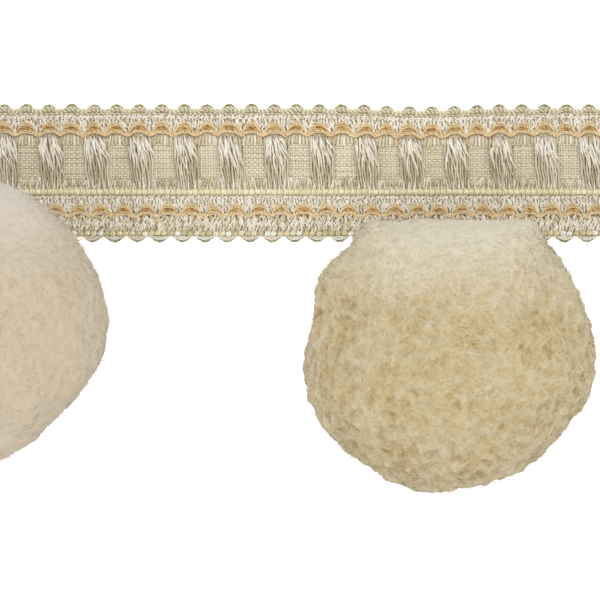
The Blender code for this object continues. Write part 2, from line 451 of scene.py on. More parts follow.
# %% [markdown]
# ## Ground cloth
#
# Under everything lies the woven tape. It is one thin closed sheet: a grid for the face, lifted
# where bands of weft make it thicker, then extruded down to a flat back. Its weave is too fine
# to model over the whole tape, so the material draws it as bump and colour. The windows between
# the floss bars show the weave best, and they get real threads in the next step.

# %% Sizes of the heading's zones
REPEAT = 4.86
BAR_PITCH = 2 * REPEAT
BARS = 20
GROUND_TOP = 1.0
BAND_TOP = 1.3
BANDS = ((-12.9, -10.3), (-7.4, -1.3), (5.9, 8.6), (10.2, 12.4))
GROUND_STEP = 1.4


def yarn_rows(per_repeat):
    """How many rings a yarn along the whole heading needs."""
    return int(round(2 * HALF_LENGTH / REPEAT * per_repeat)) + 1


def lengthwise(rings):
    return np.linspace(-HALF_LENGTH, HALF_LENGTH, rings)


# %% The sheet
columns = int(2 * HALF_LENGTH / GROUND_STEP)
rows = int((tape_high[1] - tape_low[1]) / GROUND_STEP)
bm = bmesh.new()
bmesh.ops.create_grid(bm, x_segments=columns, y_segments=rows, size=1)
centre_y, half_y = (tape_high[1] + tape_low[1]) / 2, (tape_high[1] - tape_low[1]) / 2
bmesh.ops.scale(bm, vec=(HALF_LENGTH, half_y, 1), verts=bm.verts[:])
bmesh.ops.translate(bm, vec=(0, centre_y, GROUND_TOP), verts=bm.verts[:])
lifted = [
    vert
    for vert in bm.verts
    if any(low < vert.co.y < high for low, high in BANDS)
]
bmesh.ops.translate(bm, vec=(0, 0, BAND_TOP - GROUND_TOP), verts=lifted)
back = bmesh.ops.extrude_face_region(bm, geom=bm.faces[:])["geom"]
for vert in (part for part in back if isinstance(part, bmesh.types.BMVert)):
    vert.co.z = 0.0
bmesh.ops.recalc_face_normals(bm, faces=bm.faces[:])
for vert in bm.verts:
    vert.co = sagged(np.array(vert.co))
bmesh.ops.scale(bm, vec=(MM, MM, MM), verts=bm.verts[:])
ground_mesh = bpy.data.meshes.new("heading_ground")
bm.to_mesh(ground_mesh)
bm.free()

# %% Its material: a plain weave drawn on Object coordinates
THREADS_PER_METRE = 1000 / 0.52

ground_cloth = bpy.data.materials.new("ground_cloth")
ground_cloth.use_nodes = True
tree = ground_cloth.node_tree
shader = tree.nodes["Principled BSDF"]
shader.inputs["Roughness"].default_value = 0.75
shader.inputs["Sheen Weight"].default_value = 0.2
place = add_node(tree, "ShaderNodeTexCoord").outputs["Object"]
axes = add_node(tree, "ShaderNodeSeparateXYZ", Vector=place)
waves = [
    calc(tree, "SINE", calc(tree, "MULTIPLY", axes.outputs[axis], math.pi * THREADS_PER_METRE))
    for axis in "XY"
]
checks = calc(tree, "MULTIPLY", *waves)
cover = calc(tree, "MULTIPLY_ADD", checks, 0.5, 0.5)
speck = add_node(tree, "ShaderNodeTexNoise", Vector=place, Scale=2500.0, Detail=2.0)
mixed = calc(tree, "MULTIPLY_ADD", speck.outputs["Fac"], 0.5, calc(tree, "MULTIPLY", cover, 0.5))
cloth_stops = {0.2: dye(184, 167, 134), 0.5: dye(220, 205, 174), 0.8: dye(238, 228, 202)}
colour = ramp(tree, mixed, cloth_stops)
tree.links.new(colour, shader.inputs["Base Color"])
bump = add_node(tree, "ShaderNodeBump", Height=mixed, Strength=0.8, Distance=0.08 * MM)
tree.links.new(bump.outputs["Normal"], shader.inputs["Normal"])
ground = finished("heading_ground", ground_mesh, ground_cloth, smooth=False)
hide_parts("heading_tape")

# %% [markdown]
# ## The windows
#
# Between the floss bars the plain weave shows. Each window has upright wefts and lengthwise
# warps that really pass over and under each other: one set follows a sine wave and the other
# the same wave upside down. Above the weave a few loose wefts fan down from the cord, and
# below it small loops stand where the wefts turn back, some of them bright.

# %% The weave in each window
WINDOW_HALF = 2.6
WINDOW_LOW, WINDOW_HIGH = -1.3, 6.3
UPRIGHTS, COURSES = 9, 14
THREAD_WAVE = 0.10
UPRIGHT_HALF, COURSE_HALF, THREAD_THICK = 0.27, 0.26, 0.13
WEAVE_LEVEL = GROUND_TOP + 0.25

windows = BAR_PITCH * np.arange(-BARS // 2, BARS // 2 + 1)
windows = windows[np.abs(windows) < HALF_LENGTH - WINDOW_HALF]
weave = Skein()
across = np.linspace(-WINDOW_HALF + 0.2, WINDOW_HALF - 0.2, UPRIGHTS)
course = np.linspace(WINDOW_LOW + 0.2, WINDOW_HIGH - 0.2, COURSES)


def stray(count, most):
    """A small random shift for each of some threads in each window."""
    return chance.uniform(-most, most, (len(windows), count, 1))


def window_tints(count, middle):
    """One tint a thread, with each window a little different from the next."""
    window_tone = chance.uniform(-0.08, 0.08, (len(windows), 1))
    return (middle + window_tone + stray(count, 0.16)[..., 0]).ravel()


def weaving(places, threads):
    """Over one, under one: each thread waves the other way from its neighbour."""
    step = threads[1] - threads[0]
    return np.cos(np.pi * (places - threads[0]) / step)


rings = 2 * COURSES + 1
y = np.linspace(WINDOW_LOW, WINDOW_HIGH, rings)
turns_over = (-1.0) ** np.arange(UPRIGHTS)[:, None]
upright = np.zeros((len(windows), UPRIGHTS, rings, 3))
upright[..., 0] = windows[:, None, None] + across[:, None] + stray(UPRIGHTS, 0.08)
upright[..., 1] = y
upright[..., 2] = WEAVE_LEVEL + THREAD_WAVE * turns_over * weaving(y, course)
tints = window_tints(UPRIGHTS, 0.50)
weave.wind(upright.reshape(-1, rings, 3), UPRIGHT_HALF, THREAD_THICK, tints, sides=4)

rings = 2 * UPRIGHTS + 1
x = np.linspace(-WINDOW_HALF, WINDOW_HALF, rings)
turns_over = -((-1.0) ** np.arange(COURSES)[:, None])
lengths = np.zeros((len(windows), COURSES, rings, 3))
lengths[..., 0] = windows[:, None, None] + x
lengths[..., 1] = course[:, None] + stray(COURSES, 0.07)
lengths[..., 2] = WEAVE_LEVEL + THREAD_WAVE * turns_over * weaving(x, across)
tints = window_tints(COURSES, 0.74)
weave.wind(lengths.reshape(-1, rings, 3), COURSE_HALF, THREAD_THICK, tints, sides=4)
weave_piece = weave.piece("window_weave", ground_yarn)

# %% The loose wefts over each window, and the loops under it
FAN, FAN_TOP, FAN_LENGTH = 7, 8.1, 2.2
LOOPS, LOOP_FOOT, LOOP_HEIGHT = 6, -3.0, 1.65
LOOSE_LEVEL = BAND_TOP + 0.12
loose = Skein()
t = np.linspace(0, 1, 6)
spread = np.linspace(-1, 1, FAN)[:, None]
fan = np.zeros((len(windows), FAN, len(t), 3))
fan[..., 0] = windows[:, None, None] + spread * (2.0 + 0.4 * t) + stray(FAN, 0.15)
fan[..., 1] = FAN_TOP - (FAN_LENGTH + stray(FAN, 0.4)) * t
fan[..., 2] = LOOSE_LEVEL + 0.18 * np.sin(np.pi * t)
fan_tints = chance.choice([0.35, 0.5, 0.65], size=(len(windows), FAN))
fan_tints[:, FAN // 2] = 1.0
loose.wind(fan.reshape(-1, len(t), 3), 0.27, 0.2, fan_tints.ravel(), sides=5)

t = np.linspace(0, np.pi, 8)
feet = np.linspace(-2.2, 2.2, LOOPS)[:, None] - 0.30 * np.cos(t)
loop = np.zeros((len(windows), LOOPS, len(t), 3))
loop[..., 0] = windows[:, None, None] + feet + stray(LOOPS, 0.15) + stray(LOOPS, 0.25) * np.sin(t)
loop[..., 1] = LOOP_FOOT + (LOOP_HEIGHT + stray(LOOPS, 0.45)) * np.sin(t)
loop[..., 2] = LOOSE_LEVEL + 0.22 * np.sin(t)
loop_tints = chance.choice([0.3, 0.5, 0.8, 1.0], size=len(windows) * LOOPS)
loose.wind(loop.reshape(-1, len(t), 3), 0.22, 0.20, loop_tints, sides=4)
loose_piece = loose.piece("window_threads", ground_yarn)

# %% [markdown]
# ## The weft bands
#
# Two bands of silky weft run along the heading, and a wider, untidier one fills the lower border.
# A weft yarn crosses the band as a short float that bulges in the middle and dives in at both
# ends, so each one is a short tube, thickest halfway. Over the floats lie small loops where the
# weft turned round, and it is these that give the bands their crumbly look. Two rows of stitches
# that lie along the heading edge each silky band.

# %% Weft floats
FLOAT_LENGTH = 1.35


def floats(skein, low, tints, slant=0.0, level=BAND_TOP, pitch=0.6, half=0.22, tall=FLOAT_LENGTH):
    """A row of short yarns standing on the line y = low."""
    count = int(2 * HALF_LENGTH / pitch) - 1
    t = np.linspace(0, 1, 5)
    start = pitch * (np.arange(count) - (count - 1) / 2 + chance.uniform(-0.3, 0.3, count))[:, None]
    lean = slant + chance.normal(0, 0.22, (count, 1))
    paths = np.zeros((count, len(t), 3))
    paths[..., 0] = np.clip(start + lean * (t - 0.5), half - HALF_LENGTH, HALF_LENGTH - half)
    paths[..., 1] = low + tall * chance.uniform(0.8, 1.15, (count, 1)) * t
    paths[..., 1] += chance.uniform(-0.15, 0.15, (count, 1))
    paths[..., 2] = level + 0.28 * np.sin(np.pi * (0.1 + 0.8 * t))
    width = half * (0.65 + 0.35 * np.sin(np.pi * t)) * chance.uniform(0.8, 1.2, (count, 1))
    skein.wind(paths, width, 0.8 * width, chance.choice(tints, size=count), sides=4)


def weft_loops(skein, low, height, pitch, half, tints, level=BAND_TOP + 0.3):
    """Small arches of weft, each leaning its own way."""
    count = int((2 * HALF_LENGTH - 2) / pitch)
    t = np.linspace(0, np.pi, 8)
    middle = pitch * (np.arange(count) - (count - 1) / 2)[:, None]
    middle = middle + chance.uniform(-0.35, 0.35, (count, 1)) * pitch
    tall = height * chance.uniform(0.7, 1.15, (count, 1))
    lean = chance.normal(0, 0.22, (count, 1))
    paths = np.zeros((count, len(t), 3))
    paths[..., 0] = middle - 0.36 * np.cos(t) + lean * np.sin(t)
    paths[..., 1] = low + tall * np.sin(t) + chance.uniform(-0.15, 0.15, (count, 1))
    paths[..., 2] = level + 0.16 * np.sin(t)
    width = half * chance.uniform(0.8, 1.15, (count, 1))
    skein.wind(paths, width, None, chance.choice(tints, size=count), sides=4)


# %% Stitches that lie along a line
def lying_stitches(skein, centre, pitch, length, half, tints, level, slant=0.0, sides=6):
    """A row of short fat yarns along the heading, one every pitch."""
    count = int(2 * HALF_LENGTH / pitch) - 1
    t = np.linspace(0, 1, 6)
    middle = pitch * (np.arange(count) - (count - 1) / 2)[:, None]
    middle = middle + chance.uniform(-0.1, 0.1, (count, 1))
    paths = np.zeros((count, len(t), 3))
    paths[..., 0] = middle + length * (t - 0.5)
    paths[..., 1] = centre + slant * (t - 0.5) + chance.uniform(-0.08, 0.08, (count, 1))
    paths[..., 2] = level + 0.22 * np.sin(np.pi * t)
    width = half * (0.25 + 0.75 * np.sin(np.pi * t) ** 0.7) * chance.uniform(0.88, 1.08, (count, 1))
    skein.wind(paths, width, 0.8 * width, chance.choice(tints, size=count), sides=sides)


# %% The two silky bands
BAND_STEP = 0.85
BAND_MIX = [0.3, 0.55, 0.7, 0.8, 0.85, 0.9]
for name, low, high, mix in (
    ("upper_weft_band", 8.4, 12.5, BAND_MIX),
    ("lower_weft_band", -9.1, -4.80, BAND_MIX[1:]),
):
    band = Skein()
    for row, foot in enumerate(np.arange(high - FLOAT_LENGTH, low - 0.2, -BAND_STEP)):
        floats(band, foot, mix, 0.35 * (-1) ** row, BAND_TOP + 0.06 * (row % 2), 0.66, 0.25)
    weft_loops(band, low + 1.3, 1.25, REPEAT / 4, 0.19, [0.6, 0.8, 0.9])
    for line, step in ((high - 0.35, 1.05), (high - 0.70, 1.2)):
        lying_stitches(band, line, step, 1.0, 0.20, [0.65, 0.8, 0.9], BAND_TOP + 0.22, 0.25, sides=4)
    band_piece = band.piece(name, weft_yarn)

# %% The wider border
BORDER_LOW, BORDER_ROWS, BORDER_STEP = -12.85, 4, 0.78
border = Skein()
for row in range(BORDER_ROWS):
    foot = BORDER_LOW + BORDER_STEP * row
    floats(border, foot, [0.2, 0.4, 0.6, 0.8], 0.55 * (-1) ** row, BAND_TOP + 0.05 * row, half=0.25)
    floats(border, foot + 0.3, [0.5, 0.65, 0.8, 0.9], 0.5, BAND_TOP + 0.22, 1.5, 0.24)
weft_loops(border, -11.7, 1.05, 1.2, 0.18, [0.45, 0.7, 0.85, 0.9], BAND_TOP + 0.34)
border_piece = border.piece("lower_border_wefts", weft_yarn)

# %% [markdown]
# ## The serpentine cords
#
# Each border carries a golden cord of several two-ply yarns. They run close together in shallow
# swags, and once a repeat they part to arch over in a hump: pale gold ones outside, ones that turn
# brown in its dark heart, and pinkish ones that only rise a little below it. The brown of the heart
# is partly the yarns' own colour and partly painted shade in the hollow under the arch, and the thin
# dark yarn along the foot of the swags is partly painted shade below the cord. One function gives
# all these shapes. It is 1 on the middle of the hump and falls to 0 on both sides, steeply for the
# round arches and gently for the swags. A table says where each yarn runs, how wide it is and its
# tint.

# %% Yarns of a serpentine
ARCH, HEART, SWAG = (0.82, 0.60), (0.62, 0.55), (1.0, 1.0)
SERPENTINE = (
    # shape, place and level on the hump, then in the swag, half width, tint on the hump and in the swag
    (ARCH, 1.52, 0.92, -0.62, 0.60, 0.18, 0.72, 0.84),
    (ARCH, 1.20, 1.00, -0.78, 0.66, 0.18, 0.48, 0.66),
    (ARCH, 0.90, 0.98, -0.92, 0.74, 0.17, 0.70, 0.86),
    # painted shade in part: the heart yarns turn brown on the hump, partly their own colour, partly
    # shade under the arch
    (HEART, 0.55, 0.94, -1.02, 0.72, 0.23, 0.12, 0.60),
    (HEART, 0.14, 0.90, -1.14, 0.82, 0.22, 0.22, 0.82),
    (SWAG, -0.26, 0.92, -1.26, 0.94, 0.19, 0.66, 0.58),
    (SWAG, -0.56, 0.84, -1.55, 0.98, 0.19, 0.88, 0.94),
    # painted shade in part: a thin dark yarn along the foot of the swags
    (SWAG, -0.80, 0.64, -1.80, 0.80, 0.13, 0.25, 0.15),
)
RINGS_PER_REPEAT = 16
GOLD_TWIST = 0.72


def hump(turn, width, power):
    """1 on the middle of each hump and 0 from `width` of the way to the next dip."""
    away = np.abs((turn + np.pi) % (2 * np.pi) - np.pi) / (np.pi * width)
    return np.clip(1 - away**2, 0, 1) ** power


def serpentine(name, node, centre, height, phase, paler=0.0):
    skein = Skein()
    x = lengthwise(yarn_rows(RINGS_PER_REPEAT))
    drift = np.interp(x, np.linspace(x[0], x[-1], 60), chance.normal(0, 0.08, 60))
    sway = np.interp(x, np.linspace(x[0], x[-1], 90), chance.normal(0, 0.18, 90))
    turn = 2 * np.pi * (x + sway - phase) / REPEAT
    for shape, top, top_level, dip, dip_level, half, top_tint, dip_tint in SERPENTINE:
        rise = hump(turn, *shape)
        own = np.interp(x, np.linspace(x[0], x[-1], 140), chance.normal(0, 0.06, 140))
        path = np.zeros((1, len(x), 3))
        path[0, :, 0] = x
        path[0, :, 1] = centre + height * (dip + (top - dip) * rise) + drift + own
        path[0, :, 2] = GROUND_TOP + dip_level + (top_level - dip_level) * rise
        tints = dip_tint + (top_tint - dip_tint) * rise + paler
        tints = tints + np.interp(x, np.linspace(x[0], x[-1], 150), chance.normal(0, 0.10, 150))
        plies = plied(path, 0.5 * half, GOLD_TWIST, phase=chance.uniform(0, 2 * np.pi))
        skein.wind(plies, 0.62 * half, 0.55 * half, np.stack([tints + 0.16, tints - 0.12]), sides=4)
    piece = skein.piece(name, gold_yarn)
    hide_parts(node)


serpentine("upper_serpentine", "upper_wave_cord", 9.30, 1.0, -0.64)
serpentine("lower_serpentine", "lower_wave_cord", -8.30, 0.95, 0.88, paler=0.10)

# %% [markdown]
# ## The chain rib
#
# Under the bars runs a stitched rib. A yarn lies along it, and short stitches cover it like
# beads, four a repeat, with a thin whiter one across each joint. Pale spikes of yarn lick up
# from it into the ladder.

# %% Rib
RIB_CENTRE = -4.15
RIB_PITCH = REPEAT / 4

rib = Skein()
x = lengthwise(yarn_rows(4))
line = np.stack([x, np.full(len(x), RIB_CENTRE), np.full(len(x), GROUND_TOP + 0.5)], axis=1)
rib.wind(line[None], 0.80, 0.40, 0.30)
lying_stitches(rib, RIB_CENTRE, RIB_PITCH, 1.02, 0.64, [0.55, 0.65, 0.75, 0.9], GROUND_TOP + 0.52, 0.3)
floats(rib, RIB_CENTRE - 0.85, [0.7, 0.9, 1.0], 0.2, GROUND_TOP + 0.74, RIB_PITCH, 0.15, 1.5)

spike_x = np.arange(-HALF_LENGTH + 1.2, HALF_LENGTH - 0.6, REPEAT / 4)[:, None]
t = np.linspace(0, 1, 5)
spikes = np.zeros((len(spike_x), len(t), 3))
spikes[..., 0] = spike_x + chance.uniform(-0.35, 0.35, spike_x.shape) * (0.6 + t)
spikes[..., 1] = RIB_CENTRE + 0.4 + (1.5 + chance.uniform(-0.6, 0.5, spike_x.shape)) * t
spikes[..., 2] = GROUND_TOP + 0.85 - 0.1 * t
spike_tints = chance.uniform(0.7, 1.0, len(spike_x))
rib.wind(spikes, 0.24 * (1 - 0.75 * t), 0.20 * (1 - 0.6 * t), spike_tints, sides=4)
rib_piece = rib.piece("ladder_rib", rib_yarn)
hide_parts("chain_rib")

# %% [markdown]
# ## Floss bars
#
# A bar is a bundle of soft satin floss laid across the ladder. It puffs up in the middle and is
# caught down at both ends. Darker strands run its whole length; their darker tint is painted shade
# under the strands that cover them. Over them lie bright ones that have frayed: short and tapered
# at both ends like flames, most of them in the upper half and spreading a little, so the lower half
# is thinner and the darker strands show through it. The bright ones are painted darker towards the
# foot, as painted shade away from the light at the top. A few short bright tips stand up from the foot.

# %% A bar
BAR_LOW, BAR_HIGH = -3.5, 7.9
BAR_LEAN = -0.06
BAR_HEIGHT = 1.3
BAR_ROUND = 3.1
STRANDS, UNDER_STRANDS, TIPS = 17, 9, 5
STRANDS_HALF, UNDER_HALF = 2.25, 2.3


def bar_paths(middle, offsets, lean, top, bottom, lift, rings):
    """Paths down a bar, each from its own top to its own bottom over the bar's puffed back."""
    t = np.linspace(0, 1, rings)
    y = np.reshape(top, (-1, 1)) + (np.reshape(bottom, (-1, 1)) - np.reshape(top, (-1, 1))) * t
    down = np.clip((BAR_HIGH - y) / (BAR_HIGH - BAR_LOW), 0, 1)
    puff = np.sin(np.pi * (0.06 + 0.88 * down)) ** 0.8
    crown = np.sqrt(np.clip(1 - (offsets[:, None] / BAR_ROUND) ** 2, 0, 1))
    paths = np.zeros((len(offsets), rings, 3))
    paths[..., 0] = middle + BAR_LEAN * y + lean[:, None] * (t - 0.5)
    paths[..., 0] += offsets[:, None] * (0.78 + 0.22 * puff)
    paths[..., 1] = y
    paths[..., 2] = GROUND_TOP + 0.35 + (BAR_HEIGHT + lift) * puff * crown
    return paths


# %% Twenty bars
for bar in range(BARS):
    middle = BAR_PITCH * (bar - (BARS - 1) / 2)
    skein = Skein()
    offsets = np.linspace(-UNDER_HALF, UNDER_HALF, UNDER_STRANDS)
    lean = 0.4 + chance.uniform(-0.3, 0.3, UNDER_STRANDS)
    paths = bar_paths(middle, offsets, lean, BAR_HIGH, BAR_LOW, -0.40, 12)
    paths[..., 0] += 0.10 * np.sin(paths[..., 1] * 1.3 + chance.uniform(0, 6, (UNDER_STRANDS, 1)))
    # painted shade: the under strands get a darker tint for the shade under the bright strands
    tints = np.linspace(0.46, 0.44, 12) + chance.uniform(-0.25, 0.25, (UNDER_STRANDS, 1))
    skein.wind(paths, np.linspace(0.30, 0.19, 12), 0.2, tints, sides=4)

    offsets = np.linspace(-STRANDS_HALF, STRANDS_HALF, STRANDS)
    offsets = offsets + chance.uniform(-0.15, 0.15, STRANDS)
    lean = 0.25 * offsets + chance.uniform(-0.1, 1.5, STRANDS)
    top = BAR_HIGH - 4.5 * chance.uniform(0, 1, STRANDS) ** 2
    bottom = top - chance.uniform(2.8, 6.0, STRANDS)
    paths = bar_paths(middle, offsets, lean, top, np.maximum(bottom, BAR_LOW), 0.0, 7)
    t = np.linspace(0, 1, 7)
    paths[..., 0] += 0.13 * np.sin(2 * np.pi * (t + chance.uniform(0, 1, (STRANDS, 1))))
    paths[..., 2] += chance.uniform(-0.05, 0.25, (STRANDS, 1))
    wide = np.interp(t, [0, 0.25, 0.6, 1], [0.14, 0.25, 0.20, 0.04])
    # painted shade: the bright strands darken towards the foot of the bar, away from the light at the
    # top
    tone = 1.06 - 0.035 * (BAR_HIGH - paths[..., 1]) - chance.uniform(0, 0.3, (STRANDS, 1))
    skein.wind(paths, wide, 0.85 * wide, tone, sides=4)

    offsets = np.linspace(-2.2, 2.6, TIPS) + chance.uniform(-0.3, 0.3, TIPS)
    lean = chance.uniform(-0.2, 0.2, TIPS)
    tip_tops = BAR_LOW + chance.uniform(1.2, 3.0, TIPS)
    paths = bar_paths(middle, offsets, lean, BAR_LOW, tip_tops, -0.15, 5)
    skein.wind(paths, np.linspace(0.24, 0.05, 5), None, chance.uniform(0.75, 1.0, TIPS), sides=4)
    piece = skein.piece(f"floss_threads_{bar + 1:02d}", floss_yarn)
    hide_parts(f"floss_bar_{bar + 1:02d}")

# %% [markdown]
# ## The scalloped edgings
#
# The free edge is a row of small knobbly humps: a dark two-ply cord goes up and over once a
# repeat, with paler arches inside it to fill the hump and a chain of light and dark below. The
# pompom side has a row of bead-like stitches, and thin loops hang from it like crescents.

# %% Edge cords
def edge_path(y, level, rings, wobble=0.06):
    x = lengthwise(rings)
    own = np.interp(x, np.linspace(x[0], x[-1], 100), chance.normal(0, wobble, 100))
    path = np.zeros((1, rings, 3))
    path[0, :, 0] = x
    path[0, :, 1] = y(x) + own
    path[0, :, 2] = level
    return path


def scallop(x, phase):
    return np.abs(np.cos(np.pi * (x - phase) / REPEAT)) ** 1.5


# %% The free edge
UPPER_PHASE, LOWER_PHASE = -0.64, -1.07
KNOB = (0.60, 0.8)


def knobs(x):
    return hump(2 * np.pi * (x - UPPER_PHASE) / REPEAT, *KNOB)


upper = Skein()
rings = yarn_rows(20)
cap = 0.60 - 0.60 * knobs(lengthwise(rings))
arch = edge_path(lambda x: 13.62 + 0.98 * knobs(x), 0.75, rings)
upper.wind(plied(arch, 0.13, 0.85), 0.19, 0.19, np.stack([cap, cap + 0.25]), sides=4)
filling = edge_path(lambda x: 13.32 + 0.80 * knobs(x), 0.88, rings)
upper.wind(plied(filling, 0.15, 1.1), 0.19, 0.19, [0.45, 0.85], sides=4)
inner = edge_path(lambda x: 13.03 + 0.50 * knobs(x), 0.95, rings)
upper.wind(plied(inner, 0.15, 1.1), 0.19, 0.19, [0.25, 0.80], sides=4)
backing = edge_path(lambda x: 13.08 + 0.25 * knobs(x), 0.70, rings, 0.03)
upper.wind(backing, 0.40, 0.30, 0.45, sides=4)
chain = edge_path(lambda x: 12.66 + 0 * x, 1.05, rings, 0.03)
upper.wind(plied(chain, 0.15, 0.9), 0.20, 0.20, [0.35, 0.95], sides=4)
upper_piece = upper.piece("upper_edging", edge_yarn)
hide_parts("upper_picot")

# %% The pompom side
lower = Skein()
rings = yarn_rows(16)
backing = edge_path(lambda x: -13.15 + 0 * x, 0.80, rings, 0.03)
lower.wind(backing, 0.52, 0.32, 0.15, sides=4)
bead_tints = [0.45, 0.6, 0.7, 0.85]
lying_stitches(lower, -13.08, REPEAT / 3.5, 1.42, 0.62, bead_tints, 1.15, 0.30)
rim = scallop(lengthwise(rings), LOWER_PHASE)
loops = edge_path(lambda x: -13.52 - 1.28 * scallop(x, LOWER_PHASE), 0.55, rings)
rim_tints = np.stack([0.35 - 0.35 * rim, 0.45 - 0.25 * rim])
lower.wind(plied(loops, 0.10, 0.45), 0.15, 0.15, rim_tints, sides=4)
silver = edge_path(lambda x: -13.50 - 0.92 * scallop(x, LOWER_PHASE), 0.70, rings)
lower.wind(silver, 0.24, 0.22, 0.90, sides=4)
inner = edge_path(lambda x: -13.48 - 0.52 * scallop(x, LOWER_PHASE), 0.70, rings)
lower.wind(inner, 0.22, 0.2, 0.86, sides=4)
lower_piece = lower.piece("lower_edging", edge_yarn)
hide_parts("lower_picot")

# %% [markdown]

# %% [markdown]
# ## The pompoms
#
# A pompom is a tied bundle of yarn, cut and trimmed to a ball. After some handling its cut ends
# lie over like a short felted fur, calmer on the side by the heading. It is painted paler on that
# side and round its sides, as painted light. The imported solid says how far the pile reaches each
# way: its outer points are read, and a smooth average of them gives the reach in any direction,
# flat underneath where the ball rests. The nearest points count most in it, and a faint share of
# the far ones closes the gaps. The right ball also has one shoulder, next to the heading, that
# stands out more than its solid.
#
# A solid body fills the inside: an icosphere pushed out to just under that reach, with soft lumps
# and a few creases. Its tone is painted a little lighter on the lumps and darker in the creases,
# as painted light and shade. The nap is tens of thousands of tiny spikes that grow from it and lie
# over in sweeps, and beside the heading a few stand off like feathers. Light passes through such
# fine hairs and makes them one soft surface, so the spikes and the body take the normals of a
# plain ball, turned up a little, and the spikes cast no shadow.

# %% How far the pile reaches
POMPOM_HEIGHT = 26.8
CORE_LIMIT = 25.5
SHARPNESS = 120
FAR_SHARE, FAR_SHARPNESS = 0.003, 12
FRONT = {"pompom_left": 0.0, "pompom_right": 28.3}
FRONT_HALF = 16.8
SHOULDER_RISE = {"pompom_left": 0.0, "pompom_right": 1.7}
SHOULDER_TURN, SHOULDER_SPREAD = math.radians(147), math.radians(11)


def reach_of(node):
    """The pompom's centre, and a function from directions to the pile's reach, in millimetres."""
    points = np.array([vert.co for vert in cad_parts[node].data.vertices]) / MM
    low, high = points.min(0), points.max(0)
    heart = (low + high) / 2
    heart[2] = POMPOM_HEIGHT
    rays = points - heart
    outer = rays[np.linalg.norm(rays, axis=1) > CORE_LIMIT]
    radii, ways = np.linalg.norm(outer, axis=1), unit(outer)

    def reach(directions):
        apart = directions @ ways.T - 1
        nearness = np.exp(apart * SHARPNESS) + FAR_SHARE * np.exp(apart * FAR_SHARPNESS)
        reached = nearness @ radii / nearness.sum(1)
        level = np.hypot(directions[:, 0], directions[:, 1])
        front = FRONT[node] * level / np.maximum(directions[:, 1], 1e-6)
        corner = math.hypot(FRONT[node], FRONT_HALF)
        beyond = np.clip((front - corner) / 5, 0, 1)
        pressed = np.minimum(front, corner) - reached
        reached = reached + pressed.clip(0) * (1 - beyond) * (directions[:, 1] > 0) * level**4
        turn = np.arctan2(directions[:, 1], directions[:, 0]) - SHOULDER_TURN
        shoulder = np.exp(-((turn / SHOULDER_SPREAD) ** 2)) * level**4
        reached = reached + SHOULDER_RISE[node] * shoulder
        flat = POMPOM_HEIGHT / np.maximum(-directions[:, 2], 1e-6)
        return np.minimum(reached, flat)

    return heart, reach


# %% Clouds: a smooth random height for any place
WAVES = 40


def clouds(size):
    """A function from places to a smooth random height, made of waves about `size` mm long."""
    lengths = size * chance.uniform(0.7, 1.5, (WAVES, 1))
    waves = unit(chance.normal(0, 1, (WAVES, 3))) * 2 * np.pi / lengths
    shifts = chance.uniform(0, 2 * np.pi, WAVES)

    def height(places):
        return np.sqrt(2 / WAVES) * np.cos(places @ waves.T + shifts).sum(1)

    return height


def even_directions(count):
    """Directions spread evenly over a ball, as the seeds of a sunflower are over a disc."""
    step = np.arange(count) + 0.5
    height = 1 - 2 * step / count
    turn = step * math.pi * (3 - math.sqrt(5))
    flat = np.sqrt(1 - height**2)
    return np.stack([flat * np.cos(turn), flat * np.sin(turn), height], axis=1)


def northern(ways):
    """How far a direction points to the heading's side, where the pile is calmer and painted paler as
    painted light.
    """
    lean = (ways[:, 1] * 0.9 + ways[:, 2] * 0.2 - 0.35) / 0.5
    return np.clip(lean, 0, 1) ** 1.5


# %% The pile's material
def pile_material(name, deep, middle, pale, mottle):
    """Wool: tone from the tint, broken up by a curly noise of which mottle is the strength."""
    material = bpy.data.materials.new(name)
    material.use_nodes = True
    tree = material.node_tree
    shader = tree.nodes["Principled BSDF"]
    shader.inputs["Roughness"].default_value = 1.0
    shader.inputs["Specular IOR Level"].default_value = 0.15
    shader.inputs["Sheen Weight"].default_value = 0.15
    shader.inputs["Sheen Roughness"].default_value = 0.6
    shader.inputs["Sheen Tint"].default_value = pale
    tint = add_node(tree, "ShaderNodeAttribute", {"attribute_name": "tint"})
    place = add_node(tree, "ShaderNodeTexCoord").outputs["Object"]
    curls = add_node(
        tree, "ShaderNodeTexNoise", Vector=place, Scale=650.0, Detail=5.0, Roughness=0.75, Distortion=1.2
    )
    broken = calc(tree, "MULTIPLY_ADD", curls.outputs["Fac"], mottle, -0.5 * mottle)
    tone = calc(tree, "ADD", tint.outputs["Fac"], broken)
    tree.links.new(ramp(tree, tone, {0.0: deep, 0.5: middle, 1.0: pale}), shader.inputs["Base Color"])
    return material


piles = {
    "left": pile_material(
        "pile_rosy_cream", dye(182, 158, 122), dye(196, 181, 156), dye(210, 200, 187), 0.6
    ),
    "right": pile_material(
        "pile_cream", dye(166, 134, 78), dye(192, 175, 136), dye(214, 206, 184), 1.15
    ),
}

# %% Body and nap
SPIKES = {"left": 26000, "right": 45000}
SPIKE_HALF, SPIKE_THICK = 0.14, 0.06
SPIKE_LENGTHS = (0.6, 1.3)
BODY_DEPTH = 0.35
LUMP, CREASE = 0.26, 0.20
NAP = {"left": 0.34, "right": 0.26}
NAP_RISE, NAP_TILT = 1.0, 0.35
FEATHERS = 6.0
ROUGHNESS = {"left": 0.45, "right": 1.0}
LUMP_SIZE, CREASE_SIZE, DASH_SIZE, PATCH_SIZE = 2.8, 2.2, 1.5, 13.0
SWEEP_SIZE, SWEEP_STRAY = 12.0, 0.8
ROOT_DEPTH, FLOOR_GAP = 0.15, 0.05
# painted light: the pile's tone is raised toward the heading's side and toward its sides and underside
NEAR_PAINTED_LIGHT, RIM_PAINTED_LIGHT = 0.42, 0.13


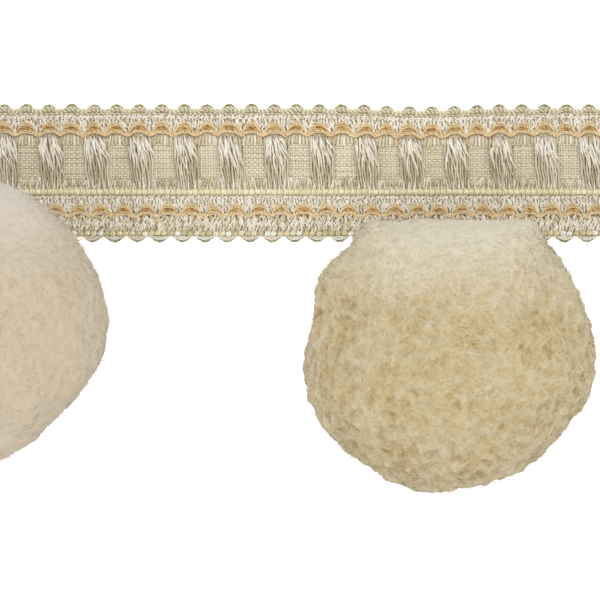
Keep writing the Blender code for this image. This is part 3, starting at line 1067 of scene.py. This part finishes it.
def spike_template():
    """A closed three-sided spike of length 1: a cone of the fewest faces."""
    bm = bmesh.new()
    bmesh.ops.create_cone(bm, cap_ends=True, segments=3, radius1=1, radius2=0, depth=1)
    bmesh.ops.translate(bm, vec=(0, 0, 0.5), verts=bm.verts[:])
    bm.verts.index_update()
    return template(bm)


def pompom(side):
    heart, reach = reach_of(f"pompom_{side}")
    lump, crease = clouds(LUMP_SIZE), clouds(CREASE_SIZE)
    dash, patch = clouds(DASH_SIZE), clouds(PATCH_SIZE)
    sweeps = [clouds(SWEEP_SIZE) for _ in range(3)]

    def surface(ways):
        """The body's reach, tone and roughness in each direction."""
        places = ways * POMPOM_HEIGHT
        rough = ROUGHNESS[side] * (1 - 0.8 * northern(ways))
        creases = np.exp(-((crease(places) / 0.25) ** 2)) * np.clip(patch(places) + 0.2, 0, 1.2)
        creases = creases * np.clip(1.4 * dash(places) - 0.3, 0, 1)
        lumps = lump(places)
        reached = reach(ways) - BODY_DEPTH + rough * (LUMP * lumps - CREASE * creases)
        # painted light and shade: the tone rises on the lumps and falls in the creases; the patch term
        # is the pile's own uneven tone
        tone = 0.5 + rough * (0.06 * lumps - 0.50 * creases - 0.03 * patch(places))
        # painted light: paler toward the heading's side and round the sides
        tone = tone + NEAR_PAINTED_LIGHT * northern(ways) + RIM_PAINTED_LIGHT * (1 - ways[:, 2])
        return reached, tone, rough

    bm = bmesh.new()
    bmesh.ops.create_icosphere(bm, subdivisions=6, radius=1)
    ways = unit(np.array([vert.co for vert in bm.verts]))
    radii, tones, _ = surface(ways)
    for vert, place in zip(bm.verts, (heart + ways * radii[:, None]) * MM):
        vert.co = place
        vert.co.z = max(vert.co.z, 0.1 * MM)
    body_mesh = bpy.data.meshes.new(f"pompom_{side}_body")
    bm.to_mesh(body_mesh)
    bm.free()
    tint = body_mesh.attributes.new("tint", "FLOAT", "POINT")
    tint.data.foreach_set("value", tones.astype(np.float32))
    body = finished(f"pompom_{side}_body", body_mesh, piles[side])
    body_mesh.normals_split_custom_set_from_vertices(unit(ways + NAP_RISE * UP))

    spikes = SPIKES[side]
    ways = unit(even_directions(spikes) + chance.normal(0, 0.006, (spikes, 3)))
    sweep = np.stack([cloud(ways * POMPOM_HEIGHT) for cloud in sweeps], axis=1)
    sweep = (sweep + chance.normal(0, SWEEP_STRAY, sweep.shape)) * (1.5, 1, 1)
    sweep = unit(sweep - ways * (sweep * ways).sum(1)[:, None])
    lay = sweep * chance.uniform(*SPIKE_LENGTHS, spikes)[:, None] / POMPOM_HEIGHT
    tip_ways = unit(ways + lay)
    root_radii, _, _ = surface(ways)
    tip_radii, tones, rough = surface(tip_ways)
    near = northern(tip_ways)
    level = np.hypot(tip_ways[:, 0], tip_ways[:, 1])
    calm = 1 - 0.5 * near + FEATHERS * near * (1 - near) * level**8
    tip_radii = tip_radii + NAP[side] * calm * chance.gamma(1.2, 0.65, spikes)
    root = heart + ways * (root_radii - ROOT_DEPTH)[:, None]
    tip = heart + tip_ways * tip_radii[:, None]
    tip[:, 2] = np.maximum(tip[:, 2], FLOOR_GAP)

    shape = spike_template()
    ahead = unit(tip - root)
    across = unit(np.cross(ahead, ways))
    upward = np.cross(ahead, across)
    x, y, z = (shape[0][:, axis][None, :, None] for axis in range(3))
    points = root[:, None] + (tip - root)[:, None] * z
    points = points + across[:, None] * x * SPIKE_HALF + upward[:, None] * y * SPIKE_THICK
    points[..., 2] = np.maximum(points[..., 2], FLOOR_GAP)
    tones = tones + rough * chance.uniform(-0.26, 0.26, spikes)
    nap = Skein()
    nap.add(shape, points, np.broadcast_to(shape[0], points.shape), tones[:, None])
    piece = nap.piece(f"pompom_{side}_nap", piles[side])
    tilts = chance.normal(0, NAP_TILT * ROUGHNESS[side], tip_ways.shape)
    normals = unit(tip_ways + NAP_RISE * UP + tilts)
    piece.data.normals_split_custom_set_from_vertices(np.repeat(normals, len(shape[0]), axis=0))
    piece.visible_shadow = False
    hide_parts(f"pompom_{side}")


for side in ("left", "right"):
    pompom(side)

# %% [markdown]
# ## The ties
#
# A short three-ply cord ties each pompom's core to the lower edging. It follows the packed
# model's own tie, from one end of its box to the other, so it lands where the solid does.

# %% Ties
for side in ("left", "right"):
    low, high = (np.array(corner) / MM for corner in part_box(f"tie_{side}"))
    x = (low[0] + high[0]) / 2
    t = np.linspace(0, 1, 40)
    start, end = np.array([x, high[1] + 0.6, 0.9]), np.array([x, low[1] + 0.4, high[2] - 0.4])
    path = (start + (end - start) * t[:, None])[None]
    tie = Skein()
    tie.wind(plied(path, 0.42, 0.35, plies=3), 0.40, 0.40, [0.3, 0.6, 0.9])
    tie_piece = tie.piece(f"tie_cord_{side}", tie_yarn)
    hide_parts(f"tie_{side}")

# %% Sizes and finish
low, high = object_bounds()
print("dressed", [round(value / MM, 1) for value in high - low], "mm")
